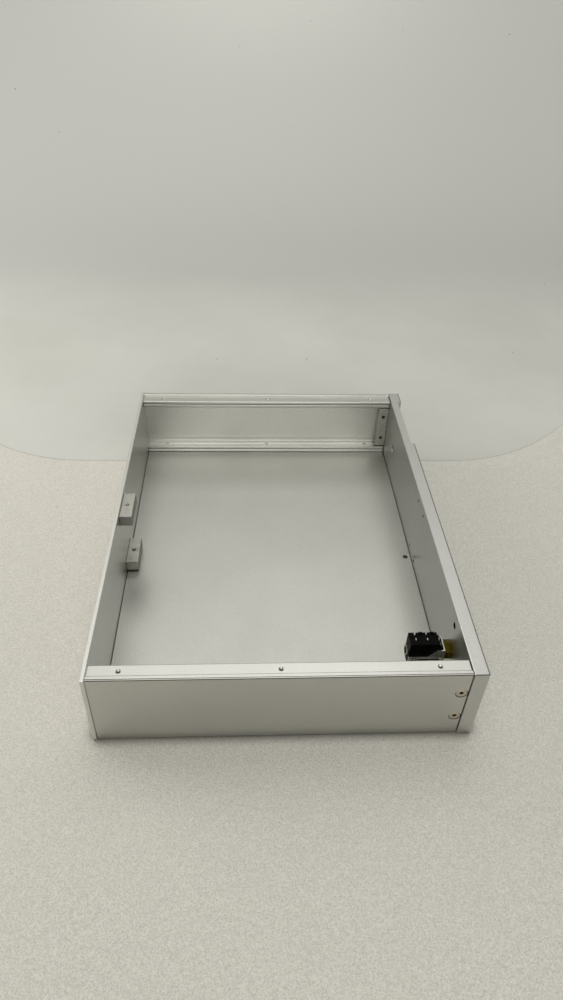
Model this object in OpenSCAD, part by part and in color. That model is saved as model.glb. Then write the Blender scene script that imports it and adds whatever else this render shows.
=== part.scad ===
// Amplifier chassis without its cover: thick front panel, thin rear panel, two extruded side panels,
// bottom plate, square-bar fixing blocks, their screws and a headphone jack.
// X runs from the rear panel to the front panel, Y from the left side to the right side as seen
// from the front, Z up. The origin is under the middle of the chassis, on the surface it stands on.

/* [Chassis] */
// Width over the front and rear panels
chassis_w = 350; // [260:1:450]
// Height of all four walls
chassis_h = 66; // [58:0.5:120]
// Length of the side panels
side_len = 248.5; // [160:0.1:400]
// Open joint between the side panels and the front panel
front_joint = 0.5; // [0:0.1:1]
// How far the front and rear panels stand past each side panel
panel_overhang = 0.5; // [0:0.1:1]
// Chamfer that breaks the edges of panels and blocks
edge_break = 0.4; // [0.1:0.05:0.5]

/* [Side panels] */
// Thickness of the web
web_t = 3; // [2.8:0.1:5]
// Width of the lip that frames the cover
lip_w = 3.9; // [3:0.1:5.5]
// Depth of the flanges, from the outer face
flange_depth = 13.7; // [13.5:0.1:20]
// Thickness of the flanges
flange_t = 7; // [6:0.1:9]
// Radius along the outer edges
outer_edge_r = 1.4; // [0.5:0.1:2]
// Radius along the edges of the lips and flanges
flange_edge_r = 0.9; // [0.1:0.05:1]
// Radius in the corners between web and flanges
root_r = 0.8; // [0.2:0.1:1]
// Width of the drilling grooves along the flanges
groove_w = 0.9; // [0.6:0.1:1.5]
// Depth of the drilling grooves
groove_d = 1.2; // [0.6:0.1:1.5]
// Chamfer along the edges of the drilling grooves
groove_lip = 0.35; // [0.1:0.05:0.5]
// Distance of the flange holes from the lip
flange_hole_offset = 4.5; // [4.3:0.1:5]
// Distance of the end flange holes from the ends of the panel
flange_hole_end = 20; // [16:0.5:40]
// Number of holes along each flange
flange_hole_count = 3; // [2:1:5]
// Chamfer at the mouth of each tapped hole and of the control and lamp holes
hole_mouth = 0.45; // [0.2:0.05:0.6]

/* [Plates] */
// Thickness of the front panel
front_t = 10; // [8:0.5:16]
// Thickness of the rear panel
rear_t = 3; // [2.5:0.1:5]
// Thickness of the bottom plate, and of a cover
plate_t = 2; // [1.5:0.1:3]
// How deep a plate lies below the edges of the lips
plate_sink = 0.2; // [0.1:0.1:1]
// Gap round the edges of the bottom plate
plate_gap = 0.2; // [0.1:0.1:1]
// Diameter of the clearance holes at the middle of the bottom plate
plate_hole_d = 4.5; // [4:0.1:6]

/* [Front panel details] */
// Width of the flat floor of the knob recess
knob_recess_w = 69; // [40:1:90]
// Depth of the knob recess
knob_recess_d = 3.3; // [1:0.1:5]
// Radius of the rounded shoulder of the knob recess
knob_shoulder_r = 3; // [2.6:0.1:6]
// Distance of the control hole from the right end of the panel
control_inset = 52; // [50:0.5:60]
// Diameter of the control hole
control_hole_d = 8; // [6:0.1:12]
// Distance of the jack from the left end of the panel
jack_inset = 47.5; // [40:0.5:70]
// Distance of the lamp hole from the left end of the panel
lamp_inset = 50; // [40:0.5:70]
// Diameter of the lamp hole
lamp_hole_d = 4.2; // [2:0.1:5]
// Height of the lamp hole above the jack
lamp_rise = 22.5; // [15:0.5:26]
// Depth of the blind tapped holes in the inner face
blind_depth = 7; // [5:0.5:7.5]
// Number of nicks worn in the upper front edge, above the lamp hole
nick_count = 3; // [0:1:5]
// Distance of the first nick from the left end of the panel
nick_inset = 36; // [20:0.5:60]
// Distance between nicks
nick_pitch = 15.4; // [8:0.1:30]
// Radius of a nick
nick_r = 0.8; // [0.3:0.1:1.5]

/* [Fixing blocks] */
// Width of the square bar of the blocks
bar_w = 10; // [9:0.5:12]
// Length of the blocks at the middle of the rear panel
rear_block_len = 30; // [27:1:60]
// Distance between the two screws of a rear block
rear_block_pitch = 20; // [12:0.5:21]
// Gap between the lower rear block and the bottom plate
rear_block_gap = 1.2; // [0.2:0.1:2]
// Gap between a corner block and each flange
corner_block_gap = 1.1; // [0.3:0.1:3]
// Distance of the side screws from the ends of a corner block
side_screw_end = 10; // [9.5:0.1:12]
// Distance of the front screws from the ends of a corner block
corner_screw_end = 4.7; // [4:0.1:5]

/* [Screws] */
// Mean thread diameter of the larger screws
large_d = 3.5; // [3.2:0.1:3.8]
// Head diameter of the larger countersunk screws
large_head_d = 8; // [7:0.1:8.5]
// Length of the side and bottom screws
large_len = 9; // [8:0.5:10]
// Mean thread diameter of the smaller screws
small_d = 2.7; // [2.4:0.1:3]
// Head diameter of the smaller countersunk screws
small_head_d = 6; // [5.5:0.1:6.5]
// Length of the rear panel's screws
small_len = 8; // [7:0.5:12]
// Head diameter of the cap screws in the corner blocks
cap_head_d = 5.5; // [5:0.1:6]
// Head height of the cap screws
cap_head_h = 3; // [2.5:0.1:3.5]
// Length of the cap screws under the head
cap_len = 12; // [10:0.5:13]
// Radial clearance of a screw's thread in its tapped hole
thread_gap = 0.05; // [0.02:0.01:0.1]
// Radial clearance of a screw in a plain hole
screw_gap = 0.35; // [0.2:0.05:0.5]
// How deep a countersunk head lies below the surface
head_sink = 0.15; // [0.05:0.05:0.3]
// Height of the straight rim of a countersunk head
head_rim = 0.2; // [0.1:0.05:0.4]
// Radial clearance round a head
head_gap = 0.3; // [0.1:0.05:0.3]

/* [Headphone jack] */
// Length of the moulded body
jack_len = 24.6; // [22:0.2:32]
// Width of the moulded body
jack_w = 11.2; // [11.2:0.1:16]
// Height of the body above the plug's axis
jack_rise = 12; // [9:0.1:14]
// Height of the body below the plug's axis
jack_drop = 9.3; // [7:0.1:12]
// Diameter of the socket for the plug
socket_d = 6.4; // [6:0.1:6.6]
// Outer diameter of the threaded bush
bush_d = 9.4; // [9:0.1:10]
// Diameter of the bush's collar
collar_d = 10.4; // [10.2:0.1:11]
// Thickness of the bush's collar
collar_t = 1.5; // [1:0.1:2]
// Thickness of the sheet steel frame
frame_t = 1; // [0.6:0.1:1.5]
// Width across the flats of the inner nut
nut_af = 12; // [11.5:0.1:15]
// Thickness of the inner nut
nut_t = 5.4; // [2:0.1:7]
// Diameter of the ring nut on the outside
ring_nut_d = 14; // [12:0.1:16]
// Thickness of the ring nut
ring_nut_t = 3.2; // [2:0.1:4]
// How deep the ring nut lies below the front face
ring_nut_sink = 0.3; // [0.1:0.1:1]
// Clearance round the bush and the ring nut
bush_gap = 0.1; // [0.05:0.05:0.2]
// Outer diameter of the ferrule at the rear of the jack
ferrule_d = 7.6; // [7:0.1:10]
// Length of the ferrule
ferrule_len = 1.4; // [1:0.1:4]
// Distance of the last contact from the front of the body
contact_last = 3.3; // [3:0.1:5]
// Distance between contacts
contact_pitch = 8.3; // [6:0.1:8.4]
// Width of a contact spring
contact_w = 2; // [1:0.1:3]
// Thickness of a contact spring
contact_t = 0.5; // [0.3:0.05:0.8]
// Length of the sloped nose of the body
nose_len = 4.2; // [3:0.1:6]
// Height of the foot of the nose above the plug's axis
nose_foot = 5.5; // [5.4:0.1:7]
// Height of the frame's walls above the plug's axis, beside the bush
wall_high = 6.2; // [5.5:0.1:8]
// Depth of the frame's walls below the plug's axis, at the rear
wall_drop = 0.6; // [0.5:0.1:4]
// Height of the side spring
spring_h = 3.6; // [2:0.1:5]
// Depth of the side spring's upper edge below the plug's axis
spring_drop = 3.2; // [2:0.1:5]
// Gap between the side spring and the frame
spring_gap = 0.8; // [0.4:0.1:2]

/* [Hidden] */
$fn = 64;
over = 1;

// Walls
inner_len = side_len + front_joint;
depth = rear_t + inner_len + front_t;
x_rear_in = -depth / 2 + rear_t;
x_front_in = x_rear_in + inner_len;
x_front_out = x_front_in + front_t;
y_end = chassis_w / 2;
y_side = y_end - panel_overhang;
z_mid = chassis_h / 2;
recess = plate_t + plate_sink;
z_cover = chassis_h - recess;
flange_hole_inset = lip_w + flange_hole_offset;
y_flange_hole = y_side - flange_hole_inset;
z_flange_mid = recess + flange_t / 2;

// Blocks
x_corner = x_front_in - bar_w;
x_corner_mid = x_front_in - bar_w / 2;
y_corner_mid = y_side - web_t - bar_w / 2;
corner_block_len = chassis_h - 2 * (recess + flange_t + corner_block_gap);
z_corner = z_mid - corner_block_len / 2;
side_screw_pitch = corner_block_len - 2 * side_screw_end;
corner_screw_pitch = corner_block_len - 2 * corner_screw_end;
x_rear_mid = x_rear_in + bar_w / 2;
z_upper_block = z_cover - bar_w;
z_lower_block = recess + rear_block_gap;
block_levels = [z_lower_block, z_upper_block];

// Screws
large_tap_d = large_d + 2 * thread_gap;
small_tap_d = small_d + 2 * thread_gap;
large_key = 2.5;
small_key = 2;
cap_key = 2.5;
key_depth = 1.4;
tip_chamfer = 0.4;
cap_bore_d = cap_head_d + 2 * head_gap;

// How far the cone of a bottom screw's head reaches past the plate, and the mouth that clears it
cone_past_plate = head_sink + head_rim + (large_head_d - large_d) / 2 - plate_t;
plate_screw_mouth = max(hole_mouth, cone_past_plate - thread_gap + head_gap);

// Jack
jack_y = -y_end + jack_inset;
x_frame = x_front_in - nut_t - frame_t;
x_jack = x_frame - jack_len;
contact_places = [for (i = [2, 1, 0]) jack_len - contact_last - i * contact_pitch];
x_ring_nut = x_front_out - ring_nut_sink - ring_nut_t;
wall_slope_start = 10.9;
wall_slope_end = 4.6;
slot_w = 1.2;
slot_d = 3;
slot_mouth_w = 1.8;
slot_mouth_d = 1;
post_w = 2.4;
post_offset = 5.4;
post_depth = 2;
post_h = 0.8;
contact_seat = 2;
contact_short = 0.3;
rivet_d = 2.2;
rivet_len = 2;
rivet_proud = 0.7;
rivet_offset = 3;
rivet_down = 3.4;
spanner_slot = 2;
spring_t = 0.5;
spring_rear = 3;
spring_foot = 2;
spring_lug_w = 3;
spring_lug_h = 1.5;
spring_lug_hole = 1.4;

anodised = "#c4c4be";
machined = "#a9a7a0";
screw_steel = "#9b978c";
moulded_black = "#141414";
bright_steel = "#c9ccc8";
brass = "#b59a3c";

// Box with chamfered edges, one corner at the origin.
module broken_box(size, c) {
    intersection() {
        linear_extrude(size.z) broken_rect(size.x, size.y, c);
        rotate([90, 0, 90]) linear_extrude(size.x) broken_rect(size.y, size.z, c);
        translate([0, size.y, 0]) rotate([90, 0, 0]) linear_extrude(size.y) broken_rect(size.x, size.z, c);
    }
}

module broken_rect(w, h, c) {
    polygon([[c, 0], [w - c, 0], [w, c], [w, h - c], [w - c, h], [c, h], [0, h - c], [0, c]]);
}

// Turns a shape that points along -Z so that it points along +X or +Y.
module towards_front() { rotate([0, -90, 0]) children(); }
module towards_right() { rotate([90, 0, 0]) children(); }

// Plain hole of diameter d along +X from the origin.
module x_hole(d, len) {
    rotate([0, 90, 0]) cylinder(h = len, d = d);
}

// Tapped hole of diameter d along +Z, with its chamfered mouth at the origin.
module tapped_hole(d, len, mouth = hole_mouth) {
    translate([0, 0, -over]) cylinder(h = len + over, d = d);
    cylinder(h = mouth, d1 = d + 2 * mouth, d2 = d);
}

// Countersunk screw: top of the head at the origin, thread along -Z.
module countersunk_screw(d, head_d, len, key) {
    cone = (head_d - d) / 2;
    difference() {
        rotate_extrude()
            polygon([
                [0, 0], [head_d / 2, 0], [head_d / 2, -head_rim], [d / 2, -head_rim - cone],
                [d / 2, -len + tip_chamfer], [d / 2 - tip_chamfer, -len], [0, -len]
            ]);
        translate([0, 0, -key_depth]) cylinder(h = key_depth + over, d = key / cos(30), $fn = 6);
    }
}

// The hole that a countersunk screw needs through a plate, surface at the origin, along -Z.
module countersink(d, head_d, len) {
    head_r = head_d / 2 + head_gap;
    hole_r = d / 2 + screw_gap;
    z_rim = -head_sink - head_rim + head_gap;
    z_hole = z_rim - head_r + hole_r;
    rotate_extrude()
        polygon([[0, over], [head_r, over], [head_r, z_rim], [hole_r, z_hole], [hole_r, -len], [0, -len]]);
}

// Cap screw: seat of the head at the origin, thread along -Z.
module cap_screw() {
    difference() {
        rotate_extrude()
            polygon([
                [0, cap_head_h], [cap_head_d / 2, cap_head_h], [cap_head_d / 2, 0], [small_d / 2, 0],
                [small_d / 2, -cap_len + tip_chamfer], [small_d / 2 - tip_chamfer, -cap_len], [0, -cap_len]
            ]);
        translate([0, 0, cap_head_h - key_depth])
            cylinder(h = key_depth + over, d = cap_key / cos(30), $fn = 6);
    }
}

// Places for the screws
module at_flange_holes(sides = [-1, 1]) {
    step = (side_len - 2 * flange_hole_end) / (flange_hole_count - 1);
    for (side = sides, i = [0 : flange_hole_count - 1])
        translate([x_rear_in + flange_hole_end + i * step, side * y_flange_hole, 0]) children();
}

module at_flange_ends(sides = [-1, 1]) {
    for (side = sides, z = [z_flange_mid, chassis_h - z_flange_mid])
        translate([x_rear_in - rear_t, side * y_flange_hole, z]) children();
}

module at_rear_block_screws(levels = block_levels) {
    for (z = levels, y = [-1, 1] * rear_block_pitch / 2)
        translate([x_rear_in - rear_t, y, z + bar_w / 2]) children();
}

// Outer face of the left side panel; the right side mirrors it.
module at_side_screws() {
    for (z = [-1, 1] * side_screw_pitch / 2)
        translate([x_corner_mid, -y_side, z_mid + z]) children();
}

// Rear face of the left corner block.
module at_corner_screws() {
    for (z = [-1, 1] * corner_screw_pitch / 2)
        translate([x_corner, -y_corner_mid, z_mid + z]) children();
}

module both_sides() {
    children();
    mirror([0, 1, 0]) children();
}

// Section of the left side panel: outer face at the left, inside at the right.
module side_profile() {
    z_in = recess + flange_t;
    half = groove_w / 2;
    groove = [
        [-half - groove_lip, 0], [half + groove_lip, 0], [half, -groove_lip], [0, -groove_d],
        [-half, -groove_lip]
    ];
    difference() {
        union() {
            polygon([
                [0, 0], [lip_w, 0], [lip_w, recess], [flange_depth, recess], [flange_depth, z_in],
                [web_t, z_in], [web_t, chassis_h - z_in], [flange_depth, chassis_h - z_in],
                [flange_depth, z_cover], [lip_w, z_cover], [lip_w, chassis_h], [0, chassis_h]
            ]);
            both_edges() translate([web_t, z_in]) corner_piece(root_r);
        }
        both_edges() {
            corner_piece(outer_edge_r);
            translate([lip_w, 0]) mirror([1, 0]) corner_piece(flange_edge_r);
            translate([flange_depth, recess]) mirror([1, 0]) corner_piece(flange_edge_r);
            translate([flange_depth, z_in]) rotate(180) corner_piece(flange_edge_r);
            translate([flange_hole_inset, z_in]) polygon(groove);
            translate([flange_depth, z_flange_mid]) rotate(-90) polygon(groove);
        }
    }
}

// The lower edge of the section, and its mirror at the upper edge.
module both_edges() {
    children();
    translate([0, chassis_h]) mirror([0, 1]) children();
}

// What lies between a square corner at the origin and an arc of radius r that touches both sides.
module corner_piece(r) {
    difference() {
        square(r);
        translate([r, r]) circle(r);
    }
}

module left_panel() {
    difference() {
        intersection() {
            translate([x_rear_in, -y_side, 0]) rotate([90, 0, 90]) linear_extrude(side_len) side_profile();
            translate([x_rear_in, -y_side, 0]) broken_box([side_len, flange_depth, chassis_h], edge_break);
        }
        at_flange_holes([-1]) {
            translate([0, 0, z_cover]) mirror([0, 0, 1]) tapped_hole(small_tap_d, flange_t + over);
            translate([0, 0, recess]) tapped_hole(large_tap_d, flange_t + over, plate_screw_mouth);
        }
        at_flange_ends([-1]) x_hole(small_tap_d, rear_t + small_len + over);
        at_side_screws() towards_right() countersink(large_d, large_head_d, web_t + over);
    }
}

module left_side_panel() {
    color(anodised) left_panel();
}

module right_side_panel() {
    color(anodised) mirror([0, 1, 0]) left_panel();
}

// Outline of the knob recess: X is along the panel, Y is the depth below the front face.
module knob_recess_profile() {
    r = knob_shoulder_r;
    d = knob_recess_d;
    run = sqrt(4 * r * d - d * d);
    translate([-knob_recess_w / 2, 0]) {
        translate([0, -over]) square([knob_recess_w, d + over]);
        intersection() {
            translate([-run / 2, -over]) square([run / 2, d + over]);
            union() {
                translate([0, d - r]) circle(r);
                translate([-run, -over]) square([run, d - r + over]);
            }
        }
        difference() {
            translate([-run, -over]) square([run / 2, d / 2 + over]);
            translate([-run, r]) circle(r);
        }
    }
}

// Plain hole of diameter d through the front panel, with its chamfered mouth at the inner face.
module bored_hole(d) {
    translate([-over, 0, 0]) x_hole(d, front_t + 2 * over);
    rotate([0, 90, 0]) cylinder(h = hole_mouth, d1 = d + 2 * hole_mouth, d2 = d);
}

module front_panel() {
    color(anodised) difference() {
        translate([x_front_in, -y_end, 0]) broken_box([front_t, chassis_w, chassis_h], edge_break);
        translate([x_front_out, y_end - control_inset, -over]) rotate(90)
            linear_extrude(chassis_h + 2 * over) knob_recess_profile();
        translate([x_front_in, y_end - control_inset, z_mid]) bored_hole(control_hole_d);
        translate([x_front_in - over, jack_y, z_mid]) x_hole(bush_d + 2 * bush_gap, front_t + 2 * over);
        translate([x_front_in, -y_end + lamp_inset, z_mid + lamp_rise]) bored_hole(lamp_hole_d);
        for (i = [0 : 1 : nick_count - 1])
            translate([x_front_out, -y_end + nick_inset + i * nick_pitch, chassis_h]) sphere(nick_r);
        translate([x_ring_nut, jack_y, z_mid]) x_hole(ring_nut_d + 2 * bush_gap, front_t);
        both_sides() at_corner_screws() x_hole(small_tap_d, bar_w + blind_depth);
        for (z = [recess + bar_w / 2, z_cover - bar_w / 2], y = [-1, 1] * rear_block_pitch / 2)
            translate([x_front_in - over, y, z]) x_hole(small_tap_d, blind_depth + over);
    }
}

module rear_panel() {
    color(anodised) difference() {
        translate([x_rear_in - rear_t, -y_end, 0]) broken_box([rear_t, chassis_w, chassis_h], edge_break);
        at_flange_ends() towards_front() countersink(small_d, small_head_d, rear_t + over);
        at_rear_block_screws() towards_front() countersink(small_d, small_head_d, rear_t + over);
    }
}

module bottom_plate() {
    plate_w = 2 * (y_side - lip_w - plate_gap);
    plate_len = inner_len - 2 * plate_gap;
    color(anodised) difference() {
        translate([x_rear_in + plate_gap, -plate_w / 2, plate_sink])
            broken_box([plate_len, plate_w, plate_t], edge_break);
        translate([0, 0, plate_sink]) {
            at_flange_holes() mirror([0, 0, 1]) countersink(large_d, large_head_d, plate_t + over);
            for (x = [x_rear_mid, x_front_in - bar_w / 2])
                translate([x, 0, -over]) cylinder(h = plate_t + 2 * over, d = plate_hole_d);
        }
    }
}

// Left corner block, with its side threads and counterbored front screw holes.
module corner_block() {
    difference() {
        translate([x_corner, -y_corner_mid - bar_w / 2, z_corner])
            broken_box([bar_w, bar_w, corner_block_len], edge_break);
        at_side_screws() towards_right() {
            translate([0, 0, -web_t - bar_w - over]) cylinder(h = bar_w + 2 * over, d = large_tap_d);
            countersink(large_d, large_head_d, web_t);
        }
        at_corner_screws() {
            translate([-over, 0, 0]) x_hole(cap_bore_d, cap_head_h + head_sink + over);
            x_hole(small_d + 2 * screw_gap, bar_w + over);
        }
    }
}

module left_corner_block() {
    color(machined) corner_block();
}

module right_corner_block() {
    color(machined) mirror([0, 1, 0]) corner_block();
}

// Block on the rear panel, with a plate screw's thread of diameter d through its middle.
module rear_block(level, d) {
    difference() {
        translate([x_rear_in, -rear_block_len / 2, level])
            broken_box([bar_w, rear_block_len, bar_w], edge_break);
        at_rear_block_screws([level]) x_hole(small_tap_d, rear_t + bar_w + over);
        translate([x_rear_mid, 0, level]) {
            tapped_hole(d, bar_w + over);
            translate([0, 0, bar_w]) mirror([0, 0, 1]) tapped_hole(d, bar_w);
        }
    }
}

module upper_rear_block() {
    color(machined) rear_block(z_upper_block, small_tap_d);
}

module lower_rear_block() {
    color(machined) rear_block(z_lower_block, large_tap_d);
}

module side_screws() {
    color(screw_steel) both_sides() at_side_screws() towards_right()
        translate([0, 0, -head_sink]) countersunk_screw(large_d, large_head_d, large_len, large_key);
}

module corner_block_screws() {
    color(screw_steel) both_sides() at_corner_screws()
        translate([cap_head_h + head_sink, 0, 0]) towards_front() cap_screw();
}

module rear_block_screws() {
    color(screw_steel) at_rear_block_screws() towards_front()
        translate([0, 0, -head_sink]) countersunk_screw(small_d, small_head_d, small_len, small_key);
}

module rear_panel_screws() {
    color(screw_steel) at_flange_ends() towards_front()
        translate([0, 0, -head_sink]) countersunk_screw(small_d, small_head_d, small_len, small_key);
}

module bottom_plate_screws() {
    color(screw_steel) translate([0, 0, plate_sink + head_sink]) at_flange_holes() mirror([0, 0, 1])
        countersunk_screw(large_d, large_head_d, large_len - head_sink - plate_sink, large_key);
}

// Headphone jack: X along the plug's axis, origin on that axis at the rear of the moulded body.
module at_jack(x = x_jack) {
    translate([x, jack_y, z_mid]) children();
}

// A shape drawn in X and Z, given the width w across Y and centred on it.
module across(w) {
    translate([0, w / 2, 0]) rotate([90, 0, 0]) linear_extrude(w) children();
}

module jack_body() {
    slot_len = jack_w / 2 + contact_w + over;
    slot = [
        [-slot_w / 2, -slot_d], [slot_w / 2, -slot_d], [slot_w / 2, -slot_mouth_d],
        [slot_mouth_w / 2, over], [-slot_mouth_w / 2, over], [-slot_w / 2, -slot_mouth_d]
    ];
    color(moulded_black) at_jack() difference() {
        union() {
            across(jack_w) polygon([
                [0, -jack_drop], [jack_len, -jack_drop], [jack_len, nose_foot],
                [jack_len - nose_len, jack_rise], [0, jack_rise]
            ]);
            for (i = [1, 2]) translate([contact_places[i] - post_offset, jack_w / 2, jack_rise - over])
                translate([0, -post_depth, 0]) cube([post_w, post_depth, post_h + over]);
        }
        for (x = contact_places) translate([x, 0, jack_rise]) {
            translate([0, slot_len / 2 - contact_w, 0]) across(slot_len) polygon(slot);
            translate([-contact_t / 2, -contact_w / 2, -slot_d - contact_seat])
                cube([contact_t, contact_w, contact_seat + over]);
        }
        translate([-over, 0, 0]) x_hole(socket_d, jack_len + 2 * over);
        translate([jack_len - collar_t, 0, 0]) x_hole(collar_d + 2 * bush_gap, collar_t + over);
        rivet_place() cylinder(h = rivet_len + over, d = rivet_d);
    }
}

// The rivet stands on the sloped nose, square to it, with its shank in the body.
module rivet_place() {
    slope = atan2(jack_rise - nose_foot, nose_len);
    translate([jack_len - nose_len, -rivet_offset, jack_rise]) rotate([0, slope, 0])
        translate([rivet_down, 0, rivet_proud - rivet_len]) children();
}

module jack_rivet() {
    color(bright_steel) at_jack() rivet_place() cylinder(h = rivet_len, d = rivet_d);
}

module jack_frame() {
    total_w = jack_w + 2 * frame_t;
    color(bright_steel) at_jack() difference() {
        union() {
            across(total_w) polygon([
                [0, -jack_drop - frame_t], [jack_len + frame_t, -jack_drop - frame_t],
                [jack_len + frame_t, wall_high], [jack_len, wall_high],
                [jack_len, -jack_drop], [0, -jack_drop]
            ]);
            for (side = [-1, 1]) translate([0, side * (jack_w + frame_t) / 2, 0]) across(frame_t) polygon([
                [0, -jack_drop - frame_t], [jack_len + frame_t, -jack_drop - frame_t],
                [jack_len + frame_t, wall_high], [jack_len - wall_slope_end, wall_high],
                [jack_len - wall_slope_start, -wall_drop], [0, -wall_drop]
            ]);
        }
        translate([jack_len - over, 0, 0]) x_hole(bush_d + 2 * bush_gap, frame_t + 2 * over);
    }
}

// Side spring: a strip along the frame's left wall, with a bent foot at the front and a solder lug at the rear.
module jack_side_spring() {
    y_frame = -jack_w / 2 - frame_t;
    y_spring = y_frame - spring_gap - spring_t;
    z_low = -spring_drop - spring_h;
    color(bright_steel) at_jack() {
        translate([spring_rear, y_spring, z_low]) cube([jack_len - spring_rear, spring_t, spring_h]);
        translate([jack_len - spring_foot, y_spring + spring_t, z_low]) cube([spring_foot, spring_gap, spring_h]);
        difference() {
            translate([spring_rear, y_spring, -spring_drop]) cube([spring_lug_w, spring_t, spring_lug_h]);
            translate([spring_rear + spring_lug_w / 2, y_spring - over, -spring_drop + spring_lug_h / 2])
                rotate([-90, 0, 0]) cylinder(h = spring_t + 2 * over, d = spring_lug_hole);
        }
    }
}

module jack_bush() {
    bush_len = x_ring_nut + ring_nut_t - x_frame;
    color(brass) at_jack(x_frame) difference() {
        union() {
            x_hole(bush_d, bush_len);
            translate([-collar_t, 0, 0]) x_hole(collar_d, collar_t);
        }
        translate([-collar_t - over, 0, 0]) x_hole(socket_d, collar_t + bush_len + 2 * over);
    }
}

module jack_inner_nut() {
    color(brass) at_jack(x_front_in - nut_t) difference() {
        rotate([0, 90, 0]) cylinder(h = nut_t, d = nut_af / cos(30), $fn = 6);
        translate([-over, 0, 0]) x_hole(bush_d + 2 * thread_gap, nut_t + 2 * over);
    }
}

module jack_outer_nut() {
    color(bright_steel) at_jack(x_ring_nut) difference() {
        x_hole(ring_nut_d, ring_nut_t);
        translate([-over, 0, 0]) x_hole(bush_d + 2 * thread_gap, ring_nut_t + 2 * over);
        translate([ring_nut_t / 2, -ring_nut_d / 2 - over, -spanner_slot / 2])
            cube([ring_nut_t, ring_nut_d + 2 * over, spanner_slot]);
    }
}

// Contact spring: a flat blade that stands in the body's slot, counted from the rear.
module contact(i) {
    depth_in = slot_d + contact_seat;
    at_jack() translate([contact_places[i] - contact_t / 2, -contact_w / 2, jack_rise - depth_in])
        cube([contact_t, contact_w, depth_in - contact_short]);
}

module jack_tip_contact() {
    color(bright_steel) contact(0);
}

module jack_ring_contact() {
    color(bright_steel) contact(1);
}

module jack_sleeve_contact() {
    color(bright_steel) contact(2);
}

module jack_rear_ferrule() {
    color(bright_steel) at_jack(x_jack - ferrule_len) difference() {
        x_hole(ferrule_d, ferrule_len);
        translate([-over, 0, 0]) x_hole(socket_d, ferrule_len + 2 * over);
    }
}

front_panel();
rear_panel();
left_side_panel();
right_side_panel();
bottom_plate();
left_corner_block();
right_corner_block();
upper_rear_block();
lower_rear_block();
side_screws();
corner_block_screws();
rear_block_screws();
rear_panel_screws();
bottom_plate_screws();
jack_body();
jack_frame();
jack_bush();
jack_inner_nut();
jack_outer_nut();
jack_tip_contact();
jack_ring_contact();
jack_sleeve_contact();
jack_rear_ferrule();
jack_rivet();
jack_side_spring();
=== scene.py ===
"""Finishes the amplifier chassis: its surfaces, screws, threads and the studio round it.

Lengths in the classes are in millimetres, and MM turns them to metres. X runs from the rear panel
to the front panel, Y from the left side to the right side as seen from the front, and Z up.
"""

from __future__ import annotations

import logging
import math
from dataclasses import dataclass, replace
from enum import Enum, IntEnum
from typing import Any, NamedTuple

import bmesh
import bpy
from mathutils import Matrix, Vector

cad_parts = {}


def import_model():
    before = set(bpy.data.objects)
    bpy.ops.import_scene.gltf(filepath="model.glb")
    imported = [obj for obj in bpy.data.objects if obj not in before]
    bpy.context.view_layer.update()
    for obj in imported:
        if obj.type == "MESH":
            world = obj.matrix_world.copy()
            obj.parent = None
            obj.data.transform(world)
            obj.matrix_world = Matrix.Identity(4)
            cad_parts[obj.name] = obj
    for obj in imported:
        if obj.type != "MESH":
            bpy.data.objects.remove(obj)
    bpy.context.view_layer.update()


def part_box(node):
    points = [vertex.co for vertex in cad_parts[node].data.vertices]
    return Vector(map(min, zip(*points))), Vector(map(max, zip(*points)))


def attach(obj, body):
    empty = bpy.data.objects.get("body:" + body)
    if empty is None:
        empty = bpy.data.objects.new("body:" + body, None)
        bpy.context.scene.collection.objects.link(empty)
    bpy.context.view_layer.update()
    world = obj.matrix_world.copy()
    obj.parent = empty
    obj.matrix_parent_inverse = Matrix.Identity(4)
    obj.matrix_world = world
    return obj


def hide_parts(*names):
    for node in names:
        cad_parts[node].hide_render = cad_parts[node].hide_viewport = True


MM = 0.001
BODY = "root"
LOG = logging.getLogger("chassis")

# Corners of a solid's triangles that are closer than this are one corner
MERGE_MM = 0.002
# Neighbouring faces that turn by less than this are one flat face
FLAT_DEG = 0.2
# An edge shorter than this many radii is not rounded
SHORT_EDGE_RADII = 4
ROUNDING_STEPS = 2
# Weight that lets the large faces set the shading of their corners
FLAT_WEIGHT = 100

Mesh = bpy.types.Mesh
Socket = bpy.types.NodeSocket
Tree = bpy.types.NodeTree


class Axis(IntEnum):
    """Axis of the frame, as the number of its coordinate."""

    X = 0
    Y = 1
    Z = 2


def linear(colour: str) -> tuple[float, float, float, float]:
    """Turns an sRGB hex colour to linear light.

    Args:
        colour: Colour such as "#c4c4be".

    Returns:
        Linear red, green and blue, and full opacity.
    """
    levels = [int(colour[i : i + 2], 16) / 255 for i in (1, 3, 5)]
    red, green, blue = (
        v / 12.92 if v <= 0.04045 else ((v + 0.055) / 1.055) ** 2.4 for v in levels
    )
    return red, green, blue, 1.0


def add_node(
    tree: Tree, kind: str, inputs: dict[Any, Any] | None = None, **settings: Any
) -> Any:
    """Adds a node with its settings, and links or sets its inputs.

    Args:
        tree: Node tree that takes the node.
        kind: Blender's type name of the node.
        inputs: Value or output socket for each input, by the input's name or number.
        settings: Properties of the node itself.

    Returns:
        The new node.
    """
    node = tree.nodes.new(kind)
    for name, value in settings.items():
        setattr(node, name, value)
    for key, value in (inputs or {}).items():
        if isinstance(value, Socket):
            tree.links.new(value, node.inputs[key])
        else:
            node.inputs[key].default_value = value
    return node


def calculate(tree: Tree, operation: str, *values: Any, clamp: bool = False) -> Socket:
    """Adds one step of arithmetic.

    Args:
        tree: Node tree that takes the step.
        operation: Blender's name of the operation.
        values: Number or socket for each input.
        clamp: Whether the result is kept between 0 and 1.

    Returns:
        Socket with the result.
    """
    return add_node(
        tree, "ShaderNodeMath", dict(enumerate(values)), operation=operation, use_clamp=clamp
    ).outputs["Value"]


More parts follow.
